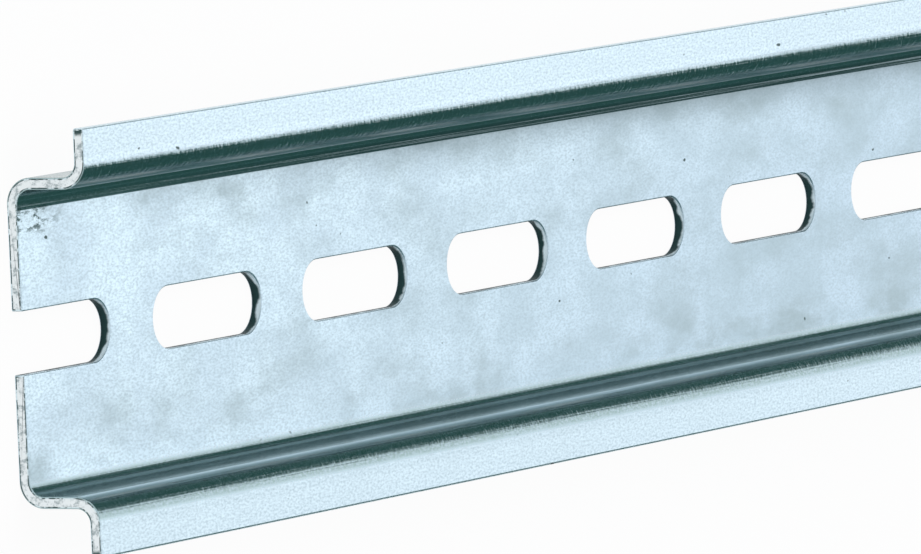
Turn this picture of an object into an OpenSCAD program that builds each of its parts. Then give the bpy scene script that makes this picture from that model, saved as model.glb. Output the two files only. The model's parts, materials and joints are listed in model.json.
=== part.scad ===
// Slotted top-hat mounting rail, roll-formed from one strip of zinc-plated steel.
// The rail lies on the back of its web: X runs along it, Y across it, Z towards the lips.
// The origin is at the middle of its length and width, on the back of the web.

/* [Section] */
// Overall width across the tips of the two lips
rail_width = 35; // [31:0.5:60]
// Overall depth, from the back of the web to the front of the lips
rail_depth = 7.5; // [5:0.5:25]
// Outside width of the hat, across its two walls
hat_width = 27; // [20:0.5:32]
// Thickness of the strip
strip_thickness = 1; // [0.6:0.1:2]
// Inside radius of the bend between the web and each wall
web_bend = 1.2; // [0.3:0.1:2]
// Inside radius of the bend between each wall and its lip
lip_bend = 1.2; // [0.3:0.1:2]

/* [Length] */
// Length that the rail is cut to
rail_length = 500; // [100:5:2000]

/* [Slots] */
// Length of a slot, end to end
slot_length = 18; // [8:0.5:22]
// Width of a slot
slot_width = 5.2; // [3:0.1:7]
// Distance between the middles of neighbouring slots
slot_pitch = 25; // [20:1:50]
// Distance from the left cut end to the middle of the slot that this end cuts open
first_slot = 5; // [0:0.5:24]

/* [Hidden] */
$fn = 64;

// Outside radii of the two bends
web_bend_outer = web_bend + strip_thickness;
lip_bend_outer = lip_bend + strip_thickness;

// Bend centres, on the +Y half of the section
web_bend_y = hat_width / 2 - web_bend_outer;
lip_bend_y = hat_width / 2 + lip_bend;
lip_bend_z = rail_depth - lip_bend_outer;

// First and last slot of the row that the stock was punched with, cut slots included
slot_from = ceil((-slot_length / 2 - first_slot) / slot_pitch);
slot_to = floor((rail_length + slot_length / 2 - first_slot) / slot_pitch);

// How far the punch reaches past each face of the web
punch_reach = strip_thickness;

// One quarter of a bent strip, about the origin; turn is the angle at which its quadrant starts
module bend(inner, turn) {
    outer = inner + strip_thickness;
    rotate(turn)
        intersection() {
            difference() {
                circle(r = outer);
                circle(r = inner);
            }
            square(outer);
        }
}

// The +Y half of the section: half the web, a wall and a lip, with the bends between them
module half_section() {
    square([web_bend_y, strip_thickness]);
    translate([web_bend_y, web_bend_outer])
        bend(web_bend, -90);
    translate([hat_width / 2 - strip_thickness, web_bend_outer])
        square([strip_thickness, lip_bend_z - web_bend_outer]);
    translate([lip_bend_y, lip_bend_z])
        bend(lip_bend, 90);
    translate([lip_bend_y, rail_depth - strip_thickness])
        square([rail_width / 2 - lip_bend_y, strip_thickness]);
}

// The whole section, rolled along the length
module rolled_strip() {
    translate([-rail_length / 2, 0, 0])
        rotate([90, 0, 90])
            linear_extrude(rail_length) {
                half_section();
                mirror([1, 0])
                    half_section();
            }
}

// The punch that makes one slot, with full round ends
module slot_punch() {
    end_offset = (slot_length - slot_width) / 2;
    translate([0, 0, -punch_reach])
        linear_extrude(strip_thickness + 2 * punch_reach) {
            square([2 * end_offset, slot_width], center = true);
            for (side = [-1, 1])
                translate([side * end_offset, 0])
                    circle(d = slot_width);
        }
}

// The rail: one strip, rolled, punched in a row and cut to length
module mounting_rail() {
    color("lightsteelblue")
        difference() {
            rolled_strip();
            for (i = [slot_from : slot_to])
                translate([first_slot + i * slot_pitch - rail_length / 2, 0, 0])
                    slot_punch();
        }
}

mounting_rail();
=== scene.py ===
# %% [markdown]
# # A slotted mounting rail
# A rail like this starts as a coil of zinc-plated steel strip. A press punches a row of slots along the
# strip, rolls fold it into the shape of a top hat, and a shear cuts it to length. This lesson folds a flat
# strip first, gives it its thickness and then punches the finished section. The plating, the light and the
# camera follow.

import json
import math

import bpy
from mathutils import Matrix, Vector


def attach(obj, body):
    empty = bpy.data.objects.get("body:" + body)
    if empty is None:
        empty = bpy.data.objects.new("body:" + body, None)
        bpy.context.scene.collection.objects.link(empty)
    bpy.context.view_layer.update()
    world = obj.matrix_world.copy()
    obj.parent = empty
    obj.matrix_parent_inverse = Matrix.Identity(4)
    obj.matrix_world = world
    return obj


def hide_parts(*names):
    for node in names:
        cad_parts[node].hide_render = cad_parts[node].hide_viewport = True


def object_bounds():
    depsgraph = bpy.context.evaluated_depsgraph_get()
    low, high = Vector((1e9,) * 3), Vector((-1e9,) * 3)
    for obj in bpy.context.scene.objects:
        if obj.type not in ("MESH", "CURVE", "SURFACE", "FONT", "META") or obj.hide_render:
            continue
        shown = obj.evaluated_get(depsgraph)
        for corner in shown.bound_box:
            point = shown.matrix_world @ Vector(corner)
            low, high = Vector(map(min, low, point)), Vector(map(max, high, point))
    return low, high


MM = 0.001
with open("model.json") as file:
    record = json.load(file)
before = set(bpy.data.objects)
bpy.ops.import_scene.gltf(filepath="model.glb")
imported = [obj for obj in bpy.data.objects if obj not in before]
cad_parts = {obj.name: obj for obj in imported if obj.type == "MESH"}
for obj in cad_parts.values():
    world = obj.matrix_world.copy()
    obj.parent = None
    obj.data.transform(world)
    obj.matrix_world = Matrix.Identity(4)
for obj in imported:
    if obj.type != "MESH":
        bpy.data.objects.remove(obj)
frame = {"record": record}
cad_low, cad_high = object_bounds()
print("CAD box in mm:", [round(v / MM, 2) for v in cad_high - cad_low])

# %% [markdown]
# The overall sizes come from the CAD box and the slot sizes from the imported record, so that the model drawn
# here can't drift away from the CAD model. The rest is the section: 1 mm strip, 27 mm across
# the walls, and the same inside radius at all four bends.

# %% Read the sizes
rail_length = cad_high.x - cad_low.x
rail_width = cad_high.y - cad_low.y
rail_depth = cad_high.z - cad_low.z
mounts = {m["name"]: m for m in frame["record"]["mounts"]}
outer_pair = mounts["slot_pair_1"]
inner_pair = mounts["slot_pair_2"]
slot_length = outer_pair["dims"]["slot_length_mm"] * MM
slot_radius = outer_pair["dims"]["hole_r_mm"] * MM
outer_spacing = outer_pair["dims"]["spacing_x_mm"] * MM
inner_spacing = inner_pair["dims"]["spacing_x_mm"] * MM
slot_pitch = (outer_spacing - inner_spacing) / 2
first_whole_slot = outer_pair["pos_m"][0] - outer_spacing / 2
first_slot = first_whole_slot - slot_pitch
whole_slots = round(outer_spacing / slot_pitch) + 1
cut_slots = 2
slot_count = whole_slots + cut_slots
hat_width = 27 * MM
strip = 1 * MM
bend_inside = 1.2 * MM
print("slots:", slot_count, "pitch in mm:", round(slot_pitch / MM, 2))

# %% [markdown]
# A few helpers keep the steps short. `pick` selects one object, `edit` opens it in edit mode with the
# vertices that a test accepts, `close` leaves edit mode, and `modify` adds a modifier, sets it and applies
# it.


# %% Helpers
def pick(obj):
    bpy.ops.object.select_all(action="DESELECT")
    obj.select_set(True)
    bpy.context.view_layer.objects.active = obj


def edit(obj, test):
    pick(obj)
    bpy.ops.object.mode_set(mode="EDIT")
    bpy.ops.mesh.select_mode(type="VERT")
    bpy.ops.mesh.select_all(action="DESELECT")
    bpy.ops.object.mode_set(mode="OBJECT")
    for vertex in obj.data.vertices:
        vertex.select = test(vertex.co)
    bpy.ops.object.mode_set(mode="EDIT")


def close():
    bpy.ops.object.mode_set(mode="OBJECT")


def modify(obj, kind, **settings):
    bpy.context.view_layer.objects.active = obj
    modifier = obj.modifiers.new(kind.lower(), kind)
    for name, value in settings.items():
        setattr(modifier, name, value)
    bpy.ops.object.modifier_apply(modifier=modifier.name)


# %% [markdown]
# The rail begins as the middle surface of the web: a flat strip half a thickness above the floor. Each long
# edge is drawn up into a wall and then out into a lip.

# %% Fold the strip
wall_y = hat_width / 2 - strip / 2
rise = rail_depth - strip
lip_reach = rail_width / 2 - wall_y

bpy.ops.object.select_all(action="DESELECT")
bpy.ops.mesh.primitive_plane_add(size=1)
rail = bpy.context.active_object
rail.name = "rail"
edit(rail, lambda co: True)
bpy.ops.transform.resize(value=(rail_length, 2 * wall_y, 1))
bpy.ops.transform.translate(value=(0, 0, strip / 2))
close()
for side in (-1, 1):
    edit(rail, lambda co: co.y * side > wall_y / 2)
    bpy.ops.mesh.extrude_region_move(TRANSFORM_OT_translate={"value": (0, 0, rise)})
    bpy.ops.mesh.extrude_region_move(TRANSFORM_OT_translate={"value": (0, side * lip_reach, 0)})
    close()
print("folded strip:", len(rail.data.polygons), "faces")

# %% [markdown]
# The folds are still sharp. A bevel turns each one into a round bend. On the middle surface its radius is the
# inside radius and half the thickness. Then the strip gets its thickness, half to each side.

# %% Round the bends
bend_radius = bend_inside + strip / 2
bend_steps = 12
near = 0.1 * MM
for side in (-1, 1):
    for fold_z in (strip / 2, rail_depth - strip / 2):
        edit(rail, lambda co: abs(co.y - side * wall_y) < near and abs(co.z - fold_z) < near)
        bpy.ops.mesh.bevel(offset=bend_radius, segments=bend_steps, affect="EDGES")
        close()
modify(rail, "SOLIDIFY", thickness=strip, offset=0, use_even_offset=True)
print("bent strip:", len(rail.data.polygons), "faces")

# %% [markdown]
# The strip was slit from a wide sheet, and the rolls have pressed its slit edges round.

# %% Round the lips
tip_y = rail_width / 2
tip_round = 0.22 * MM
tip_steps = 4
for edge_z in (rail_depth - strip, rail_depth):
    edit(rail, lambda co: abs(co.y) > tip_y - near and abs(co.z - edge_z) < near)
    bpy.ops.mesh.bevel(offset=tip_round, segments=tip_steps, affect="EDGES")
    close()
print("strip with round lips:", len(rail.data.polygons), "faces")

# %% [markdown]
# The punch is a round bar that flares at the top, where it draws the plated face down over the edge of the
# slot. The flare is a quarter round, drawn up in a few rings, and the bar goes straight on above it.

# %% Make the punch
punch_sides = 64
half_step = math.pi / punch_sides
flare = 0.12 * MM
flare_steps = 4
punch_depth = 2 * strip
bpy.ops.object.select_all(action="DESELECT")
bpy.ops.mesh.primitive_cylinder_add(
    vertices=punch_sides, radius=slot_radius, depth=punch_depth, rotation=(0, 0, half_step)
)
punch = bpy.context.active_object
bpy.ops.object.transform_apply(rotation=True)
edit(punch, lambda co: True)
bpy.ops.transform.translate(value=(0, 0, strip - flare - punch_depth / 2))
close()
edit(punch, lambda co: co.z > 0)
reach = slot_radius
height = 0
for step in range(1, flare_steps + 1):
    angle = step / flare_steps * math.pi / 2
    next_reach = slot_radius + flare * (1 - math.cos(angle))
    next_height = flare * math.sin(angle)
    bpy.ops.mesh.extrude_region_move(TRANSFORM_OT_translate={"value": (0, 0, next_height - height)})
    bpy.ops.transform.resize(value=(next_reach / reach, next_reach / reach, 1))
    reach = next_reach
    height = next_height
bpy.ops.mesh.extrude_region_move(TRANSFORM_OT_translate={"value": (0, 0, strip)})
close()
print("punch:", len(punch.data.polygons), "faces")

# %% [markdown]
# Pulled apart along the rail, the punch leaves full round ends. It is repeated at the pitch of the row, past
# both ends, so that each cut end opens a slot as the shear would.

# %% Punch the slots
for side in (-1, 1):
    edit(punch, lambda co: co.x * side > 0)
    bpy.ops.transform.translate(value=(side * (slot_length / 2 - slot_radius), 0, 0))
    close()
edit(punch, lambda co: True)
bpy.ops.transform.translate(value=(first_slot, 0, 0))
close()
modify(
    punch,
    "ARRAY",
    count=slot_count,
    use_relative_offset=False,
    use_constant_offset=True,
    constant_offset_displace=(slot_pitch, 0, 0),
)
modify(rail, "BOOLEAN", object=punch, operation="DIFFERENCE", solver="EXACT")
bpy.data.objects.remove(punch)
print("punched strip:", len(rail.data.polygons), "faces")

# %% [markdown]
# Punching and rolling leave no edge quite sharp, so every edge that is still sharp gets a small round.

# %% Soften the edges
edge_round = 0.09 * MM
edge_steps = 2
edge_angle = math.radians(50)
smooth_angle = math.radians(40)
modify(rail, "BEVEL", width=edge_round, segments=edge_steps, limit_method="ANGLE", angle_limit=edge_angle)
pick(rail)
bpy.ops.object.shade_smooth_by_angle(angle=smooth_angle)
print("finished rail:", len(rail.data.polygons), "faces")

# %% [markdown]
# All the materials are built from the same few nodes. `add` makes a node, sets its constants and links its
# other inputs. The rest name what comes up often: a calculation, a product and the parts of a vector.


# %% Node helpers
def add(tree, kind, inputs, output=0, **settings):
    node = tree.nodes.new(kind)
    for name, value in settings.items():
        setattr(node, name, value)
    for key, value in inputs.items():
        if isinstance(value, bpy.types.NodeSocket):
            tree.links.new(value, node.inputs[key])
        else:
            node.inputs[key].default_value = value
    return node.outputs[output]


def calc(tree, operation, a, b=0.0):
    return add(tree, "ShaderNodeMath", {0: a, 1: b}, operation=operation)


def times(tree, a, b):
    return calc(tree, "MULTIPLY", a, b)


def split(tree, vector):
    node = tree.nodes.new("ShaderNodeSeparateXYZ")
    tree.links.new(vector, node.inputs["Vector"])
    return node.outputs


# %% [markdown]
# Four more turn a measure into a tone: a straight ramp, a soft fade, a band that is soft on both sides, and a
# mix of two colours.


# %% Tone helpers
def ramp(tree, value, low, high, to_low=0.0, to_high=1.0, curve="LINEAR"):
    sizes = {"Value": value, "From Min": low, "From Max": high, "To Min": to_low, "To Max": to_high}
    return add(tree, "ShaderNodeMapRange", sizes, interpolation_type=curve)


def fade(tree, value, low, high, to_low=0.0, to_high=1.0):
    return ramp(tree, value, low, high, to_low, to_high, curve="SMOOTHSTEP")


def band(tree, value, low, high, soft):
    rising = fade(tree, value, low - soft, low + soft)
    falling = fade(tree, value, high - soft, high + soft, to_low=1.0, to_high=0.0)
    return times(tree, rising, falling)


def mix(tree, factor, a, b):
    inputs = {"Factor": factor, "A": a, "B": b}
    return add(tree, "ShaderNodeMix", inputs, "Result", data_type="RGBA")


# %% [markdown]
# A metal starts with the place of each point, in millimetres. Noise is measured there, with its own stretch
# along each axis. `coat` gives a metal its colour and an even roughness.


# %% Metal helpers
def metal(name):
    material = bpy.data.materials.new(name)
    material.use_nodes = True
    tree = material.node_tree
    shader = tree.nodes["Principled BSDF"]
    shader.inputs["Metallic"].default_value = 1.0
    point = add(tree, "ShaderNodeTexCoord", {}, "Object")
    per_mm = (1 / MM, 1 / MM, 1 / MM)
    place = add(tree, "ShaderNodeVectorMath", {0: point, 1: per_mm}, operation="MULTIPLY")
    return material, tree, shader, place


def noise(tree, place, stretch, detail, roughness=0.5):
    moved = add(tree, "ShaderNodeVectorMath", {0: place, 1: stretch}, operation="MULTIPLY")
    inputs = {"Vector": moved, "Scale": 1.0, "Detail": detail, "Roughness": roughness}
    return add(tree, "ShaderNodeTexNoise", inputs)


def coat(tree, shader, tint, roughness):
    tree.links.new(tint, shader.inputs["Base Color"])
    shader.inputs["Roughness"].default_value = roughness


# %% [markdown]
# The plating comes first. Its places are named in millimetres across the rail: where the web runs into its
# bends, and where the lips come out of theirs. The bend on the +Y side runs out a little way into the web.

# %% Zinc plating: where things are
zinc, tree, shader, place = metal("zinc_plating")
axes = split(tree, place)
along = axes["X"]
sideways = axes["Y"]
across = calc(tree, "ABSOLUTE", sideways)
wall_inside = hat_width / 2 - strip
web_edge = (wall_inside - bend_inside) / MM
lip_edge = (wall_inside + bend_inside + strip) / MM
left_end = -rail_length / 2 / MM
both_bends = band(tree, across, low=web_edge + 0.2, high=lip_edge - 0.3, soft=0.3)
run_out = band(tree, sideways, low=web_edge - 0.45, high=web_edge + 0.3, soft=0.1)
bends = calc(tree, "MAXIMUM", both_bends, run_out)
flats = calc(tree, "SUBTRACT", 1.0, bends)
lips = fade(tree, across, low=lip_edge - 0.7, high=lip_edge + 0.3)
on_web = fade(tree, across, low=web_edge, high=web_edge + 0.5, to_low=1.0, to_high=0.0)
print("web edge and lip edge in mm:", round(web_edge, 2), round(lip_edge, 2))

# %% [markdown]
# The zinc is a dull blue-white with clouds some millimetres wide. A painted fall-off of light makes it
# lightest at the left end and darker along the rail, on a slant.

# %% Zinc plating: clouds and painted fall-off
pale_painted_lit = (0.75, 0.92, 1.0, 1)
pale_painted_dim = (0.57, 0.715, 0.815, 1)
dull_painted_lit = (0.64, 0.79, 0.88, 1)
dull_painted_dim = (0.47, 0.60, 0.67, 1)
slope = 2.5
slant = calc(tree, "SUBTRACT", along, times(tree, sideways, slope))
# Painted fall-off of light: the plating darkens away from the left end.
painted_falloff = fade(tree, slant, low=left_end + 5, high=left_end + 150)
pale = mix(tree, painted_falloff, pale_painted_lit, pale_painted_dim)
dull = mix(tree, painted_falloff, dull_painted_lit, dull_painted_dim)
cloud_noise = noise(tree, place, stretch=(0.13, 0.2, 0.2), detail=6.0, roughness=0.62)
clouds = fade(tree, cloud_noise, low=0.34, high=0.66)
tint = mix(tree, clouds, dull, pale)

# %% [markdown]
# The lips stay light all along. The bends, the walls between them and the run-out on the +Y side take a
# painted shade. A fine grain covers everything.

# %% Zinc plating: lips, bends and grain
lip_colour = (0.74, 0.89, 0.96, 1)
lip_share = 0.8
painted_bend_shade = (0.27, 0.38, 0.37, 1)
painted_bend_shade_share = 0.9
grain_colour = (0.42, 0.54, 0.60, 1)
grain_share = 0.7
tint = mix(tree, times(tree, lips, lip_share), tint, lip_colour)
# Painted shade in the bends, on the walls between them and in the run-out on the +Y side.
tint = mix(tree, times(tree, bends, painted_bend_shade_share), tint, painted_bend_shade)
grain = noise(tree, place, stretch=(2.6, 5.2, 5.2), detail=2.0, roughness=0.6)
grainy = fade(tree, grain, low=0.32, high=0.75, to_high=grain_share)
tint = mix(tree, grainy, tint, grain_colour)

# %% [markdown]
# A grey-green bloom lies over the web in patches, and a painted shade makes it strongest beside the bends.
# Along the bend on the +Y side the web also takes a painted shade in its last few millimetres, less so near
# the left end.

# %% Zinc plating: bloom and shade
bloom_and_shade_colour = (0.35, 0.45, 0.48, 1)
bloom_and_shade_share = 0.85
shade_colour = (0.16, 0.22, 0.24, 1)
shade_share = 0.7
# Painted shade: the bloom patches grow stronger towards the bends.
painted_shade_by_bend = fade(tree, across, low=web_edge - 5.0, high=web_edge - 1.0, to_low=0.55)
bloom_noise = noise(tree, place, stretch=(0.1, 0.22, 0.22), detail=5.0, roughness=0.6)
bloom = fade(tree, bloom_noise, low=0.44, high=0.74)
bloom = times(tree, times(tree, bloom, painted_shade_by_bend), bloom_and_shade_share)
tint = mix(tree, times(tree, bloom, on_web), tint, bloom_and_shade_colour)
# Painted shade on the web along the +Y bend.
shade = ramp(tree, sideways, low=web_edge - 4.2, high=web_edge - 0.3)
shade = times(tree, calc(tree, "POWER", shade, 2.0), shade_share)
shade = times(tree, shade, fade(tree, along, low=left_end + 5, high=left_end + 75))
tint = mix(tree, times(tree, shade, on_web), tint, shade_colour)

# %% [markdown]
# The shear's clamp has scuffed the web at the left end, beside the same bend. Dark specks lie here and there
# on the flat faces.

# %% Zinc plating: scuffs and specks
scuff_colour = (0.06, 0.11, 0.11, 1)
speck_colour = (0.06, 0.10, 0.10, 1)
by_end = fade(tree, along, low=left_end + 3.0, high=left_end + 8.0, to_low=1.0, to_high=0.0)
by_bend = band(tree, sideways, low=web_edge - 2.4, high=web_edge - 0.4, soft=0.6)
clamped = times(tree, by_end, by_bend)
scuff_noise = noise(tree, place, stretch=(0.7, 1.8, 1.8), detail=4.0, roughness=0.7)
scuff = fade(tree, scuff_noise, low=0.49, high=0.61)
tint = mix(tree, times(tree, scuff, clamped), tint, scuff_colour)
speck_noise = noise(tree, place, stretch=(0.6, 1.0, 1.0), detail=1.0)
speck = fade(tree, speck_noise, low=0.775, high=0.815)
tint = mix(tree, times(tree, speck, flats), tint, speck_colour)
tree.links.new(tint, shader.inputs["Base Color"])

# %% [markdown]
# The flats are dull, and the rolls have polished the bends.

# %% Zinc plating: polish
dullest = 0.35
least_dull = 0.30
polish = 0.17
dullness = fade(tree, grain, low=0.3, high=0.7, to_low=least_dull, to_high=dullest)
dullness = calc(tree, "SUBTRACT", dullness, times(tree, bends, polish))
tree.links.new(dullness, shader.inputs["Roughness"])

# %% [markdown]
# The relief is given in millimetres. The web is dished a little into each bend, and runs into the one on the
# +Y side with a crease. The bends of the lips are finely puckered, deeper on the +Y side. Roll lines follow
# the bends, and the grain of the plating covers all of it.

# %% Zinc plating: relief
dish_depth = 0.02
crease_depth = 0.18
shallow_pucker = 0.03
deep_pucker = 0.055
roll_depth = 0.02
grain_depth = 0.003
dish = fade(tree, across, low=web_edge - 0.4, high=web_edge + 0.5, to_high=dish_depth)
crease = ramp(tree, sideways, low=web_edge - 0.5, high=web_edge + 0.35, to_high=crease_depth)
lip_bends = band(tree, across, low=lip_edge - 1.6, high=lip_edge + 0.2, soft=0.4)
pucker = times(tree, noise(tree, place, stretch=(3.0, 1.5, 1.5), detail=2.0), lip_bends)
pucker_depth = fade(tree, sideways, low=-1.0, high=1.0, to_low=shallow_pucker, to_high=deep_pucker)
pucker = times(tree, pucker, pucker_depth)
roll_lines = times(tree, noise(tree, place, stretch=(0.03, 5.0, 5.0), detail=2.0), bends)
relief = calc(tree, "MAXIMUM", dish, crease)
relief = calc(tree, "ADD", relief, pucker)
relief = calc(tree, "ADD", relief, times(tree, roll_lines, roll_depth))
relief = calc(tree, "ADD", relief, times(tree, grain, grain_depth))
bump = add(tree, "ShaderNodeBump", {"Strength": 1.0, "Distance": MM, "Height": relief})
tree.links.new(bump, shader.inputs["Normal"])

# %% [markdown]
# In the slots and at both ends, the cut has bared the steel under the plating. In the slots it takes a
# painted shade, nearly black, up to a ragged edge near the top, where the punch has dragged the light plating
# down.

# %% Bare steel in the slots
punched, tree, shader, place = metal("punched_steel")
steel_in_painted_shade = (0.03, 0.07, 0.07, 1)
dragged_zinc = (0.8, 0.95, 1.0, 1)
ragged_noise = noise(tree, place, stretch=(0.6, 0.6, 0.3), detail=3.0)
ragged = fade(tree, ragged_noise, low=0.3, high=0.7, to_high=0.4)
level = calc(tree, "ADD", split(tree, place)["Z"], ragged)
dragged = fade(tree, level, low=0.72, high=1.0)
# Painted shade on the bare steel in the slots, below the dragged plating.
coat(tree, shader, mix(tree, dragged, steel_in_painted_shade, dragged_zinc), roughness=0.35)

# %% [markdown]
# The ends are brighter and mottled, with a painted shadow at the tip of each lip. Round them runs a narrow
# rim of dark and light patches, where the plating is torn.

# %% Bare steel at the ends
# This dark serves both the torn patches of the rim and the painted shadow at the lip tips.
torn_and_shadow_dark = (0.05, 0.09, 0.09, 1)

sheared, tree, shader, place = metal("sheared_steel")
bright_steel = (0.84, 0.90, 0.92, 1)
grey_steel = (0.36, 0.43, 0.45, 1)
mottle_noise = noise(tree, place, stretch=(3.0, 1.6, 1.6), detail=4.0, roughness=0.7)
mottle = fade(tree, mottle_noise, low=0.46, high=0.66)
tint = mix(tree, mottle, bright_steel, grey_steel)
from_middle = calc(tree, "ABSOLUTE", split(tree, place)["Y"])
# Painted shadow at the tip of each lip.
tip_shadow = fade(tree, from_middle, low=tip_y / MM - 0.75, high=tip_y / MM - 0.35)
coat(tree, shader, mix(tree, tip_shadow, tint, torn_and_shadow_dark), roughness=0.4)

rim, tree, shader, place = metal("torn_rim")
torn_light = (0.7, 0.82, 0.86, 1)
torn_noise = noise(tree, place, stretch=(2.0, 0.8, 0.8), detail=4.0, roughness=0.7)
torn = fade(tree, torn_noise, low=0.48, high=0.58)
coat(tree, shader, mix(tree, torn, torn_and_shadow_dark, torn_light), roughness=0.4)

# %% [markdown]
# The rail takes the zinc all over. Then bare steel goes on the walls of the slots, which are picked by where
# they lie and which way they face.


# %% Dress the rail
def assign(obj, material):
    obj.active_material_index = obj.data.materials.find(material.name)
    bpy.ops.object.material_slot_assign()


def dress(obj, material, test):
    edit(obj, lambda co: False)
    bpy.ops.mesh.select_mode(type="FACE")
    close()
    for face in obj.data.polygons:
        face.select = test(face.center, face.normal)
    bpy.ops.object.mode_set(mode="EDIT")
    assign(obj, material)
    close()


hair = 0.02 * MM
upright = 0.2
slot_wall = slot_radius + hair
rail.data.materials.clear()
for material in (zinc, punched, rim, sheared):
    rail.data.materials.append(material)
dress(rail, punched, lambda co, n: abs(co.y) < slot_wall and abs(n.z) < upright and co.z < strip)
print("materials:", [material.name for material in rail.data.materials])

# %% [markdown]
# The shear pulls the plating a little way over each cut end. An inset marks off that torn rim from the bright
# middle of the end.

# %% Dress the sheared ends
end_x = rail_length / 2
square_on = 0.99
rim_width = 0.1 * MM
dress(rail, rim, lambda co, n: abs(co.x) > end_x - hair and abs(n.x) > square_on)
bpy.ops.object.mode_set(mode="EDIT")
bpy.ops.mesh.inset(thickness=rim_width)
assign(rail, sheared)
close()
print("dressed rail:", len(rail.data.polygons), "faces")

# %% [markdown]
# Weighted normals keep the wide faces flat right up to their rounded edges. They come last, because they hold
# for the faces that are there when they are set. Then the rail takes the place of its CAD node.

# %% Flatten the wide faces
flat_weight = 100
modify(rail, "WEIGHTED_NORMAL", keep_sharp=True, weight=flat_weight)
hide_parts("mounting_rail")
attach(rail, "root")

# %% [markdown]
# The floor is a wide sheet of matt white paper.

# %% Floor
floor_size = 30
paper_colour = (0.9, 0.9, 0.9, 1)
bpy.ops.object.select_all(action="DESELECT")
bpy.ops.mesh.primitive_plane_add(size=floor_size)
floor = bpy.context.active_object
floor.name = "floor"
paper = bpy.data.materials.new("paper")
paper.use_nodes = True
tree = paper.node_tree
matt = tree.nodes["Principled BSDF"]
matt.inputs["Base Color"].default_value = paper_colour
matt.inputs["Roughness"].default_value = 1.0
matt.inputs["Specular IOR Level"].default_value = 0.0
floor.data.materials.append(paper)

# %% [markdown]
# The camera sees the paper almost wholly as plain white, so that the rail stands on a clear ground as in a
# catalogue, and the rest of it takes the soft shadow under the lips. The metal mirrors it as white too, but
# not right under the web.

# %% Clear ground
white_share = 0.95
ground = split(tree, add(tree, "ShaderNodeTexCoord", {}, "Object"))
beside = calc(tree, "ABSOLUTE", ground["Y"])
beside = fade(tree, beside, low=hat_width / 2 - strip, high=hat_width / 2 + strip)
beyond = calc(tree, "ABSOLUTE", ground["X"])
beyond = fade(tree, beyond, low=rail_length / 2 - strip, high=rail_length / 2)
open_floor = calc(tree, "MAXIMUM", beside, beyond)
rays = tree.nodes.new("ShaderNodeLightPath").outputs
mirrored_rays = calc(tree, "MAXIMUM", rays["Is Glossy Ray"], rays["Is Transmission Ray"])
mirrored_rays = times(tree, mirrored_rays, open_floor)
seen = calc(tree, "MAXIMUM", rays["Is Camera Ray"], mirrored_rays)
glow = add(tree, "ShaderNodeEmission", {})
share = times(tree, seen, white_share)
surface = add(tree, "ShaderNodeMixShader", {"Fac": share, 1: matt.outputs["BSDF"], 2: glow})
tree.links.new(surface, tree.nodes["Material Output"].inputs["Surface"])

# %% [markdown]
# Bare metal shows what stands around it. The room is a white tent, dimmer behind the camera, with one dark
# flag on each side of the direction that the web mirrors towards the camera. The flat faces mirror the white
# wall between the flags, and the bends mirror the flags, which draws the dark lines along the rail. The
# angles of a flag are in degrees: where it starts and stops to the side, how soft its sides are, and the
# elevations at which it is still full and at which it has faded out.


# %% Flags
def flag(tree, bearing, upward, start, stop, soft, full, none):
    sides = band(tree, bearing, math.radians(start), math.radians(stop), math.radians(soft))
    full_up = math.sin(math.radians(full))
    none_up = math.sin(math.radians(none))
    top = fade(tree, upward, full_up, none_up, to_low=1.0, to_high=0.0)
    return times(tree, sides, top)


world = bpy.data.worlds.new("tent")
bpy.context.scene.world = world
world.use_nodes = True
tree = world.node_tree
tree.nodes.clear()
sky = split(tree, add(tree, "ShaderNodeTexCoord", {}, "Generated"))
mirror_x = 0.871
mirror_y = -0.078
mirrored = math.atan2(mirror_y, mirror_x)
turn = calc(tree, "ARCTAN2", sky["Y"], sky["X"])
to_left = calc(tree, "SUBTRACT", turn, mirrored)
to_right = calc(tree, "SUBTRACT", mirrored, turn)
left_flag = flag(tree, to_left, sky["Z"], start=25, stop=48, soft=5, full=23, none=29)
right_flag = flag(tree, to_right, sky["Z"], start=8, stop=100, soft=3, full=55, none=70)

# %% [markdown]
# The camera itself sees plain white in place of the tent.

# %% Tent
front_light = (1.23, 1.24, 1.28, 1)
rear_light = (0.72, 0.74, 0.77, 1)
left_dark = (0.045, 0.12, 0.11, 1)
right_dark = (0.044, 0.12, 0.11, 1)
plain_white = (1, 1, 1, 1)
behind = fade(tree, sky["X"], low=-0.7, high=0.3, to_low=1.0, to_high=0.0)
colour = mix(tree, behind, front_light, rear_light)
colour = mix(tree, left_flag, colour, left_dark)
colour = mix(tree, right_flag, colour, right_dark)
tent = add(tree, "ShaderNodeBackground", {"Color": colour})
white = add(tree, "ShaderNodeBackground", {"Color": plain_white})
seen = add(tree, "ShaderNodeLightPath", {}, "Is Camera Ray")
room = add(tree, "ShaderNodeMixShader", {"Fac": seen, 1: tent, 2: white})
output = tree.nodes.new("ShaderNodeOutputWorld")
tree.links.new(room, output.inputs["Surface"])

# %% [markdown]
# The photograph was taken through a long lens, from beyond the left end of the rail and about thirty degrees
# above the face of the web, with the camera turned on its side.

# %% Camera
camera_place = (-1.26114, 0.09549, 0.60617)
right = Vector((0.48397, -0.04287, 0.87403)).normalized()
ahead = Vector((0.87059, -0.07754, -0.48587))
sensor_mm = 36
lens_mm = 568.9
far_clip = 100
up = right.cross(ahead).normalized()
back = right.cross(up)
bpy.ops.object.camera_add()
camera = bpy.context.active_object
stand = Matrix.Translation(camera_place)
camera.matrix_world = stand @ Matrix((right, up, back)).transposed().to_4x4()
camera.data.sensor_width = sensor_mm
camera.data.lens = lens_mm
camera.data.clip_end = far_clip
bpy.context.scene.camera = camera
bpy.context.scene.view_settings.view_transform = "Standard"
